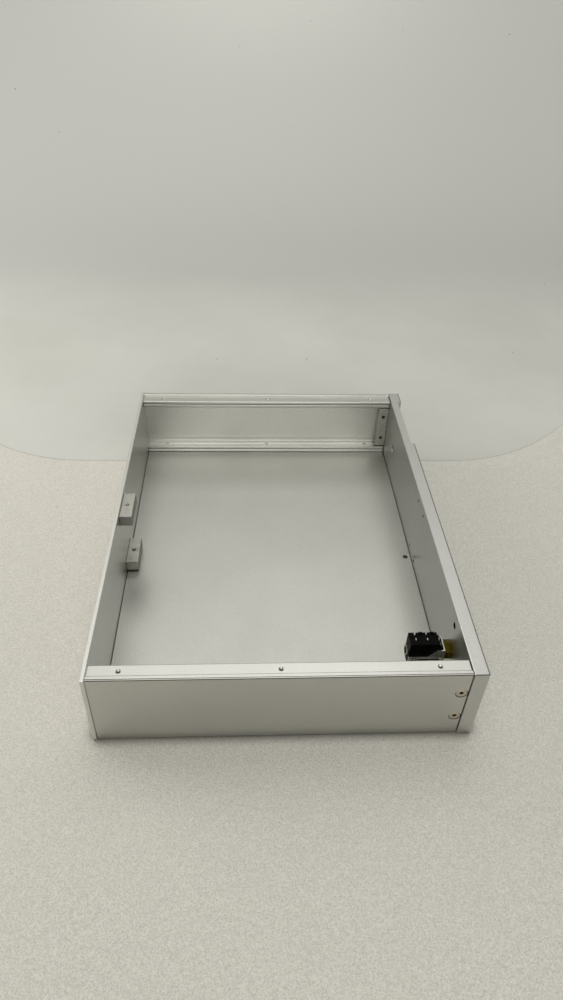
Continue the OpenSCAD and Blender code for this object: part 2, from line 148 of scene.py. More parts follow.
def mix(tree: Tree, share: Any, first: Any, second: Any) -> Socket:
    """Mixes two values.

    Args:
        tree: Node tree that takes the mix.
        share: Share of the second value.
        first: First value or socket.
        second: Second value or socket.

    Returns:
        Socket with the mixed value.
    """
    return add_node(
        tree, "ShaderNodeMix", {"Factor": share, "A": first, "B": second}, data_type="FLOAT"
    ).outputs["Result"]


def mix_colours(tree: Tree, share: Any, first: Any, second: Any) -> Socket:
    """Mixes two colours.

    Args:
        tree: Node tree that takes the mix.
        share: Share of the second colour.
        first: First colour or socket.
        second: Second colour or socket.

    Returns:
        Socket with the mixed colour.
    """
    # The node's colour sockets share their names with its value sockets, so they go by number
    return add_node(
        tree, "ShaderNodeMix", {"Factor": share, 6: first, 7: second}, data_type="RGBA"
    ).outputs[2]


def spread(
    tree: Tree, value: Socket, source: tuple[float, float],
    target: tuple[float, float] = (0.0, 1.0), curve: str = "LINEAR",
) -> Socket:
    """Spreads one range of a value over another range, and holds it at the ends.

    Args:
        tree: Node tree that takes the step.
        value: Socket with the value.
        source: Range that is spread.
        target: Range that it becomes.
        curve: Blender's name of the way between the ends.

    Returns:
        Socket with the result.
    """
    return add_node(
        tree, "ShaderNodeMapRange",
        {"Value": value, "From Min": source[0], "From Max": source[1],
         "To Min": target[0], "To Max": target[1]},
        interpolation_type=curve,
    ).outputs["Result"]


def noise(tree: Tree, place: Socket, size: float, detail: float, roughness: float) -> Socket:
    """Adds a noise.

    Args:
        tree: Node tree that takes the noise.
        place: Socket with the Object coordinates.
        size: Size of its lumps, in millimetres.
        detail: Number of finer layers.
        roughness: Strength of the finer layers.

    Returns:
        Socket with the noise, from 0 to 1.
    """
    return add_node(
        tree, "ShaderNodeTexNoise",
        {"Vector": place, "Scale": 1 / (size * MM), "Detail": detail, "Roughness": roughness},
    ).outputs["Fac"]


def along(tree: Tree, vector: Socket, axis: Axis) -> Socket:
    """Takes one part of a vector.

    Args:
        tree: Node tree that takes the step.
        vector: Socket with the vector.
        axis: Axis of that part.

    Returns:
        Socket with that part.
    """
    return add_node(tree, "ShaderNodeSeparateXYZ", {"Vector": vector}).outputs[axis]


class Lay(Enum):
    """Axis that a tool's marks lie across, as the wave texture names it."""

    NONE = None
    ACROSS_X = "X"


@dataclass(frozen=True)
class Finish:
    """Surface of one material: its colour, its gloss and the relief that its making left.

    Sizes and relief depths are in millimetres. The colour runs between two shades, by the grain and
    by wider clouds, and the gloss swings with them. Painted shade may darken its gaps and grooves,
    its outer upper edges and its far part.
    """

    name: str
    colour: str
    shade: str
    metallic: float
    roughness: float
    gloss_swing: float = 0.05
    grain: float = 0.8
    grain_depth: float = 0.0
    cloud: float = 45.0
    cloud_share: float = 0.5
    lay: Lay = Lay.NONE
    mark_pitch: float = 1.0
    mark_depth: float = 0.0
    specular: float = 0.5
    # Painted shade where a point is closed in; its dark colour also serves the dust specks
    painted_shade: float = 0.0
    painted_shade_reach: float = 0.9
    painted_shade_open: tuple[float, float] = (0.25, 0.6)
    dust_and_shade_colour: str = "#15130f"
    # Painted shade that darkens the colour towards the back, between two places along Y
    far_shade: tuple[float, float] | None = None
    far_shade_colour: str = "#ffffff"
    # Painted shade: a dark line on the outer upper edges, and past the rim on the level faces
    edge_shade: float = 0.0
    edge_lean: tuple[float, float] = (0.65, 0.75)
    edge_roughness: float | None = None
    shade_rim_x: float | None = None
    shade_rim_share: float = 0.6
    speck_pitch: float = 0.0
    speck_r: float = 0.4
    speck_share: float = 0.1

    # Part of the noise's range that runs over the whole swing of colour and gloss
    SWING = (0.3, 0.7)
    # Share of the tool marks in that swing
    MARK_SHARE = 0.35
    # Scaled length after which the bands of a wave texture repeat
    WAVE_PERIOD = 2 * math.pi / 20
    # Rays that feel for a crevice at each point, for the painted shade
    CREVICE_RAYS = 8
    # Upward part of a face's direction: nearly level, and more than any face has
    NEARLY_LEVEL = 0.97
    PAST_LEVEL = 1.05

    def material(self) -> bpy.types.Material:
        """Builds the node material, in Object coordinates.

        Returns:
            The material, which is made once and then shared.
        """
        made = bpy.data.materials.get(self.name)
        if made:
            return made
        made = bpy.data.materials.new(self.name)
        made.use_nodes = True
        tree = made.node_tree
        tree.nodes.clear()
        place = add_node(tree, "ShaderNodeTexCoord").outputs["Object"]
        swing, relief = self._pattern(tree, place)
        bump = add_node(
            tree, "ShaderNodeBump", {"Height": relief, "Distance": 1.0, "Strength": 1.0}
        )
        shader = add_node(
            tree, "ShaderNodeBsdfPrincipled",
            {"Base Color": self._coloured(tree, place, swing),
             "Roughness": self._gloss(tree, swing), "Metallic": self.metallic,
             "Specular IOR Level": self.specular, "Normal": bump.outputs["Normal"]},
        )
        add_node(tree, "ShaderNodeOutputMaterial", {"Surface": shader.outputs["BSDF"]})
        return made

    def _pattern(self, tree: Tree, place: Socket) -> tuple[Socket, Socket]:
        """Lays grain, clouds and tool marks over each other.

        Args:
            tree: Node tree of the material.
            place: Socket with the Object coordinates.

        Returns:
            Sockets with the swing of colour and gloss, and with the relief in metres.
        """
        grain = noise(tree, place, self.grain, detail=2.0, roughness=0.6)
        cloud = noise(tree, place, self.cloud, detail=4.0, roughness=0.55)
        swing = mix(tree, self.cloud_share, grain, cloud)
        relief = calculate(tree, "MULTIPLY", grain, self.grain_depth * MM)
        if self.lay is not Lay.NONE:
            marks = self._marks(tree, place)
            swing = mix(tree, self.MARK_SHARE, swing, marks)
            relief = calculate(tree, "MULTIPLY_ADD", marks, self.mark_depth * MM, relief)
        return swing, relief

    def _coloured(self, tree: Tree, place: Socket, swing: Socket) -> Socket:
        """Colours the surface, with its dust specks and its painted shade.

        Args:
            tree: Node tree of the material.
            place: Socket with the Object coordinates.
            swing: Socket with the swing between both shades.

        Returns:
            Socket with the colour.
        """
        share = spread(tree, swing, self.SWING)
        colour = mix_colours(tree, share, linear(self.shade), linear(self.colour))
        # Painted shade towards the back
        if self.far_shade:
            start, end = (v * MM for v in self.far_shade)
            far_share = spread(tree, along(tree, place, Axis.Y), (start, end), curve="SMOOTHSTEP")
            colour = mix_colours(tree, far_share, colour, linear(self.far_shade_colour))
        dust_and_shade = []
        if self.speck_pitch:
            dust_and_shade.append(self._specks(tree, place))
        # Painted shade in gaps, grooves and at contact
        if self.painted_shade:
            dust_and_shade.append(self._crevice_shade(tree))
        # Painted shade on the outer upper edges
        if self.edge_shade:
            edge = self._outer_edge_shade(tree, place)
            dust_and_shade.append(calculate(tree, "MULTIPLY", edge, self.edge_shade))
        # Dust specks and painted shade all darken towards one dark colour
        for dark_mix in dust_and_shade:
            colour = mix_colours(tree, dark_mix, colour, linear(self.dust_and_shade_colour))
        return colour

    def _gloss(self, tree: Tree, swing: Socket) -> Socket:
        """Finds the roughness, which may be another one on rounded edges.

        Args:
            tree: Node tree of the material.
            swing: Socket with the swing of the gloss.

        Returns:
            Socket with the roughness.
        """
        dull, bright = self.roughness + self.gloss_swing, self.roughness - self.gloss_swing
        gloss = spread(tree, swing, self.SWING, (dull, bright))
        if self.edge_roughness is None:
            return gloss
        edge = self._leaning(tree, self.edge_lean[1], self.NEARLY_LEVEL)
        return mix(tree, edge, gloss, self.edge_roughness)

    def _crevice_shade(self, tree: Tree) -> Socket:
        """Finds gaps, grooves and contact, where shade is painted into the colour.

        Args:
            tree: Node tree of the material.

        Returns:
            Socket with the share of painted shade.
        """
        open_share = add_node(
            tree, "ShaderNodeAmbientOcclusion", {"Distance": self.painted_shade_reach * MM},
            samples=self.CREVICE_RAYS,
        ).outputs["AO"]
        return spread(tree, open_share, self.painted_shade_open, (self.painted_shade, 0.0))

    def _leaning(self, tree: Tree, low: float, high: float) -> Socket:
        """Finds faces that lean back by a certain amount, such as rounded and broken edges.

        Args:
            tree: Node tree of the material.
            low: Least upward part of the face's direction, 0 for an upright face.
            high: Greatest upward part, 1 for a level face.

        Returns:
            Socket that is 1 on such faces and 0 elsewhere.
        """
        facing = add_node(tree, "ShaderNodeNewGeometry").outputs["True Normal"]
        upward = along(tree, facing, Axis.Z)
        return calculate(tree, "COMPARE", upward, (low + high) / 2, (high - low) / 2)

    def _outer_edge_shade(self, tree: Tree, place: Socket) -> Socket:
        """Finds the upper edges that face away from the middle, which get a dark line of painted
        shade.

        Beyond the finish's rim the level faces get painted shade too, a little less.

        Args:
            tree: Node tree of the material.
            place: Socket with the Object coordinates.

        Returns:
            Socket with the share of painted shade, from 0 to 1.
        """
        facing = add_node(tree, "ShaderNodeNewGeometry").outputs["True Normal"]
        outward = add_node(
            tree, "ShaderNodeVectorMath", {0: place, 1: (1.0, 1.0, 0.0)}, operation="MULTIPLY"
        ).outputs["Vector"]
        away = add_node(
            tree, "ShaderNodeVectorMath", {0: outward, 1: facing}, operation="DOT_PRODUCT"
        ).outputs["Value"]
        outer = calculate(tree, "GREATER_THAN", away, 0.0)
        edge = calculate(tree, "MULTIPLY", self._leaning(tree, *self.edge_lean), outer)
        if self.shade_rim_x is None:
            return edge
        beyond = calculate(tree, "GREATER_THAN", along(tree, place, Axis.X), self.shade_rim_x * MM)
        level = self._leaning(tree, self.edge_lean[1], self.PAST_LEVEL)
        rim = calculate(tree, "MULTIPLY", beyond, level)
        return calculate(tree, "MULTIPLY_ADD", rim, self.shade_rim_share, edge, clamp=True)

    def _specks(self, tree: Tree, place: Socket) -> Socket:
        """Scatters small specks of dust, one in some of the cells of a random pattern.

        Args:
            tree: Node tree of the material.
            place: Socket with the Object coordinates.

        Returns:
            Socket that is 1 in a speck and 0 elsewhere.
        """
        cells = add_node(
            tree, "ShaderNodeTexVoronoi", {"Vector": place, "Scale": 1 / (self.speck_pitch * MM)}
        )
        reach = self.speck_r / self.speck_pitch
        near = calculate(tree, "LESS_THAN", cells.outputs["Distance"], reach)
        pick = add_node(tree, "ShaderNodeSeparateColor", {"Color": cells.outputs["Color"]})
        chosen = calculate(tree, "LESS_THAN", pick.outputs["Red"], self.speck_share)
        return calculate(tree, "MULTIPLY", near, chosen)

    def _marks(self, tree: Tree, place: Socket) -> Socket:
        """Adds the bands of tool marks, a little uneven, across the lay.

        Args:
            tree: Node tree of the material.
            place: Socket with the Object coordinates.

        Returns:
            Socket with the marks' height, from 0 to 1.
        """
        scale = self.WAVE_PERIOD / (self.mark_pitch * MM)
        return add_node(
            tree, "ShaderNodeTexWave",
            {"Vector": place, "Scale": scale, "Distortion": 1.5, "Detail": 3.0,
             "Detail Scale": 2.0},
            bands_direction=self.lay.value,
        ).outputs["Fac"]


# Aluminium, blasted with fine beads and anodised clear: a pale grey metal without a direction,
# whose grain only sparkles a little. The beads' grain is finer than a pixel, so it is drawn at
# 0.9 mm. Its gaps and grooves get painted shade, and so do its outer upper edges, as a dark line,
# and its top beyond the rim.
BLASTED_ALUMINIUM = Finish(
    "bead_blasted_anodised_aluminium", "#cacac7", "#bdbdba",
    metallic=1.0, roughness=0.36, gloss_swing=0.03,
    grain=0.9, grain_depth=0.012, cloud=70.0, cloud_share=0.35,
    painted_shade=0.45, edge_shade=1.0, edge_lean=(0.1, 0.95), shade_rim_x=130.0,
)
# The same aluminium on the extruded side panels: the blasting was lighter there, so they are
# glossier, most of all on their rounded edges. They get more painted shade in gaps and grooves,
# and a dark line of painted shade on the lower part of their rounded upper edges.
EXTRUDED_ALUMINIUM = replace(
    BLASTED_ALUMINIUM, name="extruded_anodised_aluminium", colour="#cbcbc6", shade="#bebeb9",
    roughness=0.31, painted_shade=0.9, edge_shade=0.85, edge_lean=(0.1, 0.5), edge_roughness=0.2, shade_rim_x=None,
)
# The same aluminium on the thin rear panel, whose anodising is paler; it gets little painted shade
# in its gaps and none on its edges.
PALE_ALUMINIUM = replace(
    BLASTED_ALUMINIUM, name="pale_anodised_aluminium", colour="#dededa", shade="#d0d0cc",
    painted_shade=0.3, edge_shade=0.0,
)
# The same aluminium on the bottom sheet: a little darker and duller, with hardly any painted shade
# in its gaps and none on its edges.
SHEET_ALUMINIUM = replace(
    BLASTED_ALUMINIUM, name="anodised_aluminium_sheet", colour="#c2c2bd", shade="#b5b5b0",
    roughness=0.39, painted_shade=0.1, edge_shade=0.0,
)
# Aluminium bar, sawn and milled, left bare: duller and warmer, with fine cutter lines and mottling,
# dust specks, and painted shade in its gaps and recesses.
MILLED_ALUMINIUM = Finish(
    "milled_bare_aluminium", "#cbcac3", "#a3a29b",
    metallic=1.0, roughness=0.46, gloss_swing=0.08,
    grain=1.2, grain_depth=0.02, cloud=4.0, cloud_share=0.7,
    lay=Lay.ACROSS_X, mark_pitch=0.9, mark_depth=0.006,
    painted_shade=1.0, speck_pitch=3.0, speck_r=0.4, speck_share=0.3,
)
# Aluminium where a tap has cut it: bare and bright.
TAPPED_ALUMINIUM = Finish(
    "tapped_bare_aluminium", "#f2f2ee", "#dcdcd6",
    metallic=1.0, roughness=0.24, gloss_swing=0.04,
    grain=0.4, grain_depth=0.004, cloud=2.0,
)
# Painted shade in the side screws' countersinks, the lamp hole and the nicks: dark brown and matt.
HOLE_SHADE = Finish(
    "painted_hole_shade", "#2a251e", "#14110d",
    metallic=0.0, roughness=0.85, gloss_swing=0.05,
    grain=0.4, grain_depth=0.02, cloud=2.0, specular=0.1,
)
# Steel screws with a dull plating: brownish grey and satin, with painted shade where their heads
# sit in their recesses.
PLATED_SCREW_STEEL = Finish(
    "dull_plated_screw_steel", "#d2c9b8", "#b3a998",
    metallic=1.0, roughness=0.42, gloss_swing=0.06,
    grain=0.5, grain_depth=0.004, cloud=3.0, painted_shade=1.0, painted_shade_reach=4.0,
)
# Glass-filled plastic, moulded black: nearly black with a soft sheen.
MOULDED_PLASTIC = Finish(
    "moulded_black_plastic", "#080808", "#040404",
    metallic=0.0, roughness=0.5, gloss_swing=0.06,
    grain=0.6, grain_depth=0.006, cloud=8.0, specular=0.06,
)
# Sheet steel with bright nickel: mirror-like, faintly green-grey where it stands in shade. Its
# creases get a little painted shade.
NICKEL_STEEL = Finish(
    "bright_nickel_steel", "#dcded6", "#c2c6bc",
    metallic=1.0, roughness=0.2, gloss_swing=0.06,
    grain=0.6, grain_depth=0.003, cloud=6.0, painted_shade=0.3, painted_shade_reach=0.8,
)
# Spring strip with bright tin: white and a little dull.
TINNED_SPRING = Finish(
    "tinned_spring_steel", "#f6f5ee", "#e2e0d8",
    metallic=1.0, roughness=0.42, gloss_swing=0.05,
    grain=0.5, grain_depth=0.004, cloud=4.0,
)
# Turned brass, tarnished: dark yellow metal with fine turning lines round the axis, and painted
# shade in its hollows.
TARNISHED_BRASS = Finish(
    "tarnished_turned_brass", "#94852e", "#5c5118",
    metallic=1.0, roughness=0.3, gloss_swing=0.06,
    grain=0.5, grain_depth=0.002, cloud=5.0, lay=Lay.ACROSS_X, mark_pitch=1.3, mark_depth=0.02,
    painted_shade=1.0, painted_shade_reach=1.2,
)
# Foam sheet of the studio floor: matt and pale, with a fine open grain, and a painted shadow round
# what stands on it.
STUDIO_FOAM = Finish(
    "matt_foam_sheet", "#fffdf4", "#d8d6cc",
    metallic=0.0, roughness=0.95, gloss_swing=0.0,
    grain=0.85, grain_depth=0.5, cloud=300.0, cloud_share=0.05,
    painted_shade=0.8, painted_shade_reach=9.0, painted_shade_open=(0.45, 0.95), dust_and_shade_colour="#4a463e",
)
# Plastic sheet that hangs behind: matt, smooth and a little cooler, with some dust. Painted shade
# darkens it towards the back.
STUDIO_SHEET = Finish(
    "matt_backdrop_sheet", "#ebebe5", "#d6d7d0",
    metallic=0.0, roughness=0.9, gloss_swing=0.0,
    grain=1.2, grain_depth=0.0, cloud=300.0, cloud_share=0.85,
    speck_pitch=40.0, speck_r=0.9, speck_share=0.5, dust_and_shade_colour="#4a4842",
    far_shade=(380.0, 800.0), far_shade_colour="#c9cac7",
)


class Ring(NamedTuple):
    """One ring of a turned shape: its radius, its height and the width across six flats, if any."""

    radius: float
    height: float
    flats: float = math.inf


def turned_mesh(name: str, rings: list[Ring], closed: bool = False, sides: int = 48) -> Mesh:
    """Turns a shape about Z from rings, hexagonal where a ring has flats.

    Args:
        name: Name of the mesh.
        rings: Rings from one end to the other, in millimetres.
        closed: Whether the last ring joins the first, as on a nut. Otherwise both ends get a face.
        sides: Faces round the axis, a multiple of six.

    Returns:
        The mesh, in metres, with its faces outwards.
    """
    work = bmesh.new()
    loops = []
    half_flat = math.pi / 6
    for ring in rings:
        loop = []
        for i in range(sides):
            angle = 2 * math.pi * i / sides
            from_flat = (angle + half_flat) % (2 * half_flat) - half_flat
            radius = min(ring.radius, ring.flats / 2 / math.cos(from_flat))
            point = (radius * math.cos(angle), radius * math.sin(angle), ring.height)
            loop.append(work.verts.new(Vector(point) * MM))
        loops.append(loop)
    for low, high in zip(loops, loops[1:] + loops[:1] if closed else loops[1:]):
        for i in range(sides):
            j = (i + 1) % sides
            work.faces.new((low[i], low[j], high[j], high[i]))
    if not closed:
        work.faces.new(loops[0])
        work.faces.new(loops[-1])
    bmesh.ops.recalc_face_normals(work, faces=work.faces)
    mesh = bpy.data.meshes.new(name)
    work.to_mesh(mesh)
    work.free()
    return mesh


def shade(mesh: Mesh, crease_deg: float) -> None:
    """Shades a mesh smooth, with creases where faces meet at more than an angle.

    Args:
        mesh: Mesh to shade.
        crease_deg: Angle between faces, in degrees, from which an edge stays sharp.
    """
    mesh.shade_smooth()
    mesh.set_sharp_from_angle(angle=math.radians(crease_deg))


def add_piece(
    name: str, mesh: Mesh, finish: Finish, nodes: tuple[str, ...] = ()
) -> bpy.types.Object:
    """Makes an object of a mesh, dresses it and ties it to the chassis.

    Args:
        name: Name of the piece.
        mesh: Mesh in its final place.
        finish: Finish that it gets.
        nodes: Solids that the piece stands for.

    Returns:
        The object.
    """
    mesh.materials.clear()
    mesh.materials.append(finish.material())
    piece = bpy.data.objects.new(name, mesh)
    bpy.context.scene.collection.objects.link(piece)
    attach(piece, BODY)
    if nodes:
        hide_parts(*nodes)
    LOG.info("%s: %d faces", name, len(mesh.polygons))
    return piece


def merged_solid(node: str) -> bmesh.types.BMesh:
    """Copies a solid's mesh and joins its loose triangles.

    Args:
        node: Name of the solid.

    Returns:
        The joined mesh, whose flat faces are whole again.
    """
    work = bmesh.new()
    work.from_mesh(bpy.data.objects[node].data)
    bmesh.ops.remove_doubles(work, verts=work.verts, dist=MERGE_MM * MM)
    bmesh.ops.dissolve_limit(
        work, angle_limit=math.radians(FLAT_DEG), verts=work.verts, edges=work.edges,
        use_dissolve_boundaries=False,
    )
    return work


def finished_solid(
    node: str, finish: Finish, edge_r: float = 0.0, crease_deg: float = 50.0
) -> bpy.types.Object:
    """Makes the visible piece of a solid, with its straight edges rounded.

    Args:
        node: Name of the solid.
        finish: Finish of the piece.
        edge_r: Radius in millimetres of the rounded edges, or 0 to leave them.
        crease_deg: Angle from which an edge stays sharp.

    Returns:
        The piece.
    """
    work = merged_solid(node)
    if edge_r:
        crease, shortest = math.radians(crease_deg), SHORT_EDGE_RADII * edge_r * MM
        edges = [
            e for e in work.edges
            if e.is_manifold and e.calc_length() > shortest and e.calc_face_angle() > crease
        ]
        bmesh.ops.bevel(
            work, geom=edges, offset=edge_r * MM, offset_type="OFFSET", segments=ROUNDING_STEPS,
            profile=0.5, affect="EDGES", clamp_overlap=True,
        )
    mesh = bpy.data.meshes.new(f"{node}_finished")
    work.to_mesh(mesh)
    work.free()
    shade(mesh, crease_deg)
    piece = add_piece(f"{node}_finished", mesh, finish, (node,))
    weights = piece.modifiers.new("flat faces stay flat", "WEIGHTED_NORMAL")
    weights.keep_sharp = True
    weights.weight = FLAT_WEIGHT
    return piece


def island_boxes(node: str) -> list[tuple[Vector, Vector]]:
    """Finds the boxes of the separate solids in one node.

    Args:
        node: Name of the node.

    Returns:
        Lowest and highest corner of each solid, in metres.
    """
    work = merged_solid(node)
    waiting = set(work.verts)
    boxes = []
    while waiting:
        front = [waiting.pop()]
        found = []
        while front:
            vert = front.pop()
            found.append(vert.co.copy())
            near = {e.other_vert(vert) for e in vert.link_edges} & waiting
            waiting -= near
            front.extend(near)
        low, high = (
            Vector(tuple(pick(c[i] for c in found) for i in range(3))) for pick in (min, max)
        )
        boxes.append((low, high))
    work.free()
    return sorted(boxes, key=lambda box: tuple(box[0]))


class RepeatTree:
    """Geometry Nodes tree that puts one shape on each of a set of places, turned to its heading."""

    HEADING = "heading"

    def __init__(self) -> None:
        """Builds the tree with its named inputs."""
        self.tree = bpy.data.node_groups.new("shape on its places", "GeometryNodeTree")
        self._socket("Places", "NodeSocketGeometry")
        self.shape = self._socket("Shape", "NodeSocketObject")
        self.finish = self._socket("Finish", "NodeSocketMaterial")
        self.turn = self._socket("Turn", "NodeSocketFloat")
        self._socket("Pieces", "NodeSocketGeometry", "OUTPUT")
        given = add_node(self.tree, "NodeGroupInput").outputs
        heading = add_node(
            self.tree, "GeometryNodeInputNamedAttribute", {"Name": self.HEADING},
            data_type="FLOAT_VECTOR",
        )
        aligned = add_node(
            self.tree, "FunctionNodeAlignRotationToVector",
            {"Vector": heading.outputs["Attribute"]}, axis="Z",
        )
        twist = add_node(self.tree, "FunctionNodeAxisAngleToRotation", {"Angle": given["Turn"]})
        turned = add_node(
            self.tree, "FunctionNodeRotateRotation",
            {"Rotation": aligned.outputs["Rotation"], "Rotate By": twist.outputs["Rotation"]},
            rotation_space="LOCAL",
        )
        shape = add_node(self.tree, "GeometryNodeObjectInfo", {"Object": given["Shape"]})
        placed = add_node(
            self.tree, "GeometryNodeInstanceOnPoints",
            {"Points": given["Places"], "Instance": shape.outputs["Geometry"],
             "Rotation": turned.outputs["Rotation"]},
        )
        real = add_node(
            self.tree, "GeometryNodeRealizeInstances", {"Geometry": placed.outputs["Instances"]}
        )
        dressed = add_node(
            self.tree, "GeometryNodeSetMaterial",
            {"Geometry": real.outputs["Geometry"], "Material": given["Finish"]},
        )
        add_node(self.tree, "NodeGroupOutput", {"Pieces": dressed.outputs["Geometry"]})

    def _socket(self, name: str, kind: str, way: str = "INPUT") -> str:
        """Adds a socket to the tree's outside.

        Args:
            name: Name that the socket shows.
            kind: Blender's type name of the socket.
            way: "INPUT" or "OUTPUT".

        Returns:
            The socket's identifier, by which a modifier sets it.
        """
        return self.tree.interface.new_socket(name, in_out=way, socket_type=kind).identifier

    def mesh(
        self, name: str, shape: Mesh, places: list[tuple[Vector, Vector]], finish: Finish,
        turn_deg: float = 0.0,
    ) -> Mesh:
        """Puts a shape on its places.

        Args:
            name: Name of the result.
            shape: Mesh of one copy, whose Z points along the heading.
            places: Point and heading of each copy.
            finish: Finish of the copies.
            turn_deg: Turn of each copy about its heading.

        Returns:
            One plain mesh of all copies.
        """
        points = bpy.data.meshes.new(f"{name}_places")
        points.from_pydata([tuple(point) for point, _ in places], [], [])
        headings = points.attributes.new(self.HEADING, "FLOAT_VECTOR", "POINT")
        headings.data.foreach_set("vector", [v for _, heading in places for v in heading])
        pattern = bpy.data.objects.new(f"{name}_shape", shape)
        holder = bpy.data.objects.new(f"{name}_holder", points)
        bpy.context.scene.collection.objects.link(holder)
        repeat = holder.modifiers.new("repeat", "NODES")
        repeat.node_group = self.tree
        repeat[self.shape] = pattern
        repeat[self.finish] = finish.material()
        repeat[self.turn] = math.radians(turn_deg)
        depsgraph = bpy.context.evaluated_depsgraph_get()
        result = bpy.data.meshes.new_from_object(holder.evaluated_get(depsgraph))
        result.name = name
        holder.modifiers.remove(repeat)
        for spare in (holder, pattern):
            bpy.data.objects.remove(spare)
        return result


class Head(Enum):
    """Form of a screw's head."""

    COUNTERSUNK = "countersunk"
    CAP = "cap"


@dataclass(frozen=True)
class ScrewShape:
    """One hexagon-socket screw, whose head ends at Z 0 and points along +Z.

    The socket's floor is flat over a share of its key, and rises to its sides by the edge.
    """

    head: Head
    head_d: float
    thread_d: float
    key: float
    key_depth: float = 1.4
    key_floor: float = 0.3
    rim: float = 0.2
    cap_h: float = 3.0
    edge: float = 0.12
    tip: float = 0.4
    crease_deg: float = 40.0

    def mesh(self, name: str, length: float) -> Mesh:
        """Turns the screw, with rounded edges and a chamfered socket.

        Args:
            name: Name of the mesh.
            length: Full length in millimetres, head included.

        Returns:
            The mesh of one screw.
        """
        head_r, thread_r, edge, key = self.head_d / 2, self.thread_d / 2, self.edge, self.key
        socket = [
            Ring(key * self.key_floor, -self.key_depth, key),
            Ring(key, -self.key_depth + edge, key),
            Ring(key, -edge, key),
            Ring(key, 0.0, key + 2 * edge),
        ]
        face = [
            Ring(head_r - 2 * edge, 0.0),
            Ring(head_r - edge / 2, -edge / 2),
            Ring(head_r, -edge),
        ]
        if self.head is Head.COUNTERSUNK:
            neck = [Ring(head_r, -self.rim), Ring(thread_r, -self.rim - head_r + thread_r)]
        else:
            neck = [Ring(head_r, -self.cap_h), Ring(thread_r, -self.cap_h)]
        shank = [Ring(thread_r, -length + self.tip), Ring(thread_r - self.tip, -length)]
        mesh = turned_mesh(name, socket + face + neck + shank)
        shade(mesh, self.crease_deg)
        return mesh


@dataclass
class ScrewSet:
    """All screws of one node, each standing where the solid's screw stands.

    The heads point along one axis: away from the middle, or all the same way by the sign.
    """

    node: str
    shape: ScrewShape
    axis: Axis
    outward: bool = False
    sign: float = -1.0
    turn_deg: float = 0.0
    slot: str = "screw_steel"

    def build(self, repeat: RepeatTree) -> None:
        """Puts the screws in their holes.

        Args:
            repeat: Tree that makes the copies.
        """
        places = []
        length = 0.0
        for low, high in island_boxes(self.node):
            middle = (low + high) / 2
            way = math.copysign(1.0, middle[self.axis]) if self.outward else self.sign
            heading = Vector((0.0, 0.0, 0.0))
            heading[self.axis] = way
            length = (high - low)[self.axis]
            places.append((middle + heading * length / 2, heading))
        name = f"{self.node}_set"
        one = self.shape.mesh(f"{self.node}_one", length / MM)
        mesh = repeat.mesh(name, one, places, PLATED_SCREW_STEEL, self.turn_deg)
        add_piece(name, mesh, PLATED_SCREW_STEEL, (self.node,))


@dataclass
class Fasteners:
    """The screws that hold the chassis together."""

    large: ScrewShape = ScrewShape(
        Head.COUNTERSUNK, head_d=7.8, thread_d=3.5, key=2.7, key_depth=2.0
    )
    small: ScrewShape = ScrewShape(Head.COUNTERSUNK, head_d=5.9, thread_d=2.7, key=2.0)
    cap: ScrewShape = ScrewShape(Head.CAP, head_d=5.5, thread_d=2.7, key=2.5, key_depth=1.8)

    def build(self, repeat: RepeatTree) -> None:
        """Makes every set of screws.

        Args:
            repeat: Tree that makes the copies.
        """
        sets = [
            ScrewSet("side_screws", self.large, Axis.Y, outward=True, turn_deg=15.0),
            ScrewSet("corner_block_screws", self.cap, Axis.X),
            ScrewSet("rear_block_screws", self.small, Axis.X, turn_deg=20.0),
            ScrewSet("rear_panel_screws", self.small, Axis.X, turn_deg=-10.0),
            ScrewSet("bottom_plate_screws", self.large, Axis.Z),
        ]
        for screws in sets:
            screws.build(repeat)


@dataclass(frozen=True)
class Thread:
    """The ridges that a tap cut in a hole, as a thin sleeve that lines the hole below its mouth."""

    hole_r: float
    pitch: float
    length: float
    mouth: float = 0.45
    skin: float = 0.01
    ridge: float = 0.2
    sides: int = 24
    crease_deg: float = 20.0

    def mesh(self, name: str) -> Mesh:
        """Turns the sleeve, which starts under the mouth and runs down from Z 0.

        Args:
            name: Name of the mesh.

        Returns:
            The mesh of one sleeve.
        """
        outer = self.hole_r - self.skin
        root = outer - self.skin
        turns = int((self.length - self.mouth) / self.pitch)
        end = -self.mouth - turns * self.pitch
        rings = [Ring(outer, -self.mouth), Ring(outer, end)]
        for i in range(turns):
            low = end + i * self.pitch
            rings += [Ring(root, low), Ring(root - self.ridge, low + self.pitch / 2)]
        rings.append(Ring(root, -self.mouth))
        mesh = turned_mesh(name, rings, closed=True, sides=self.sides)
        shade(mesh, self.crease_deg)
        return mesh


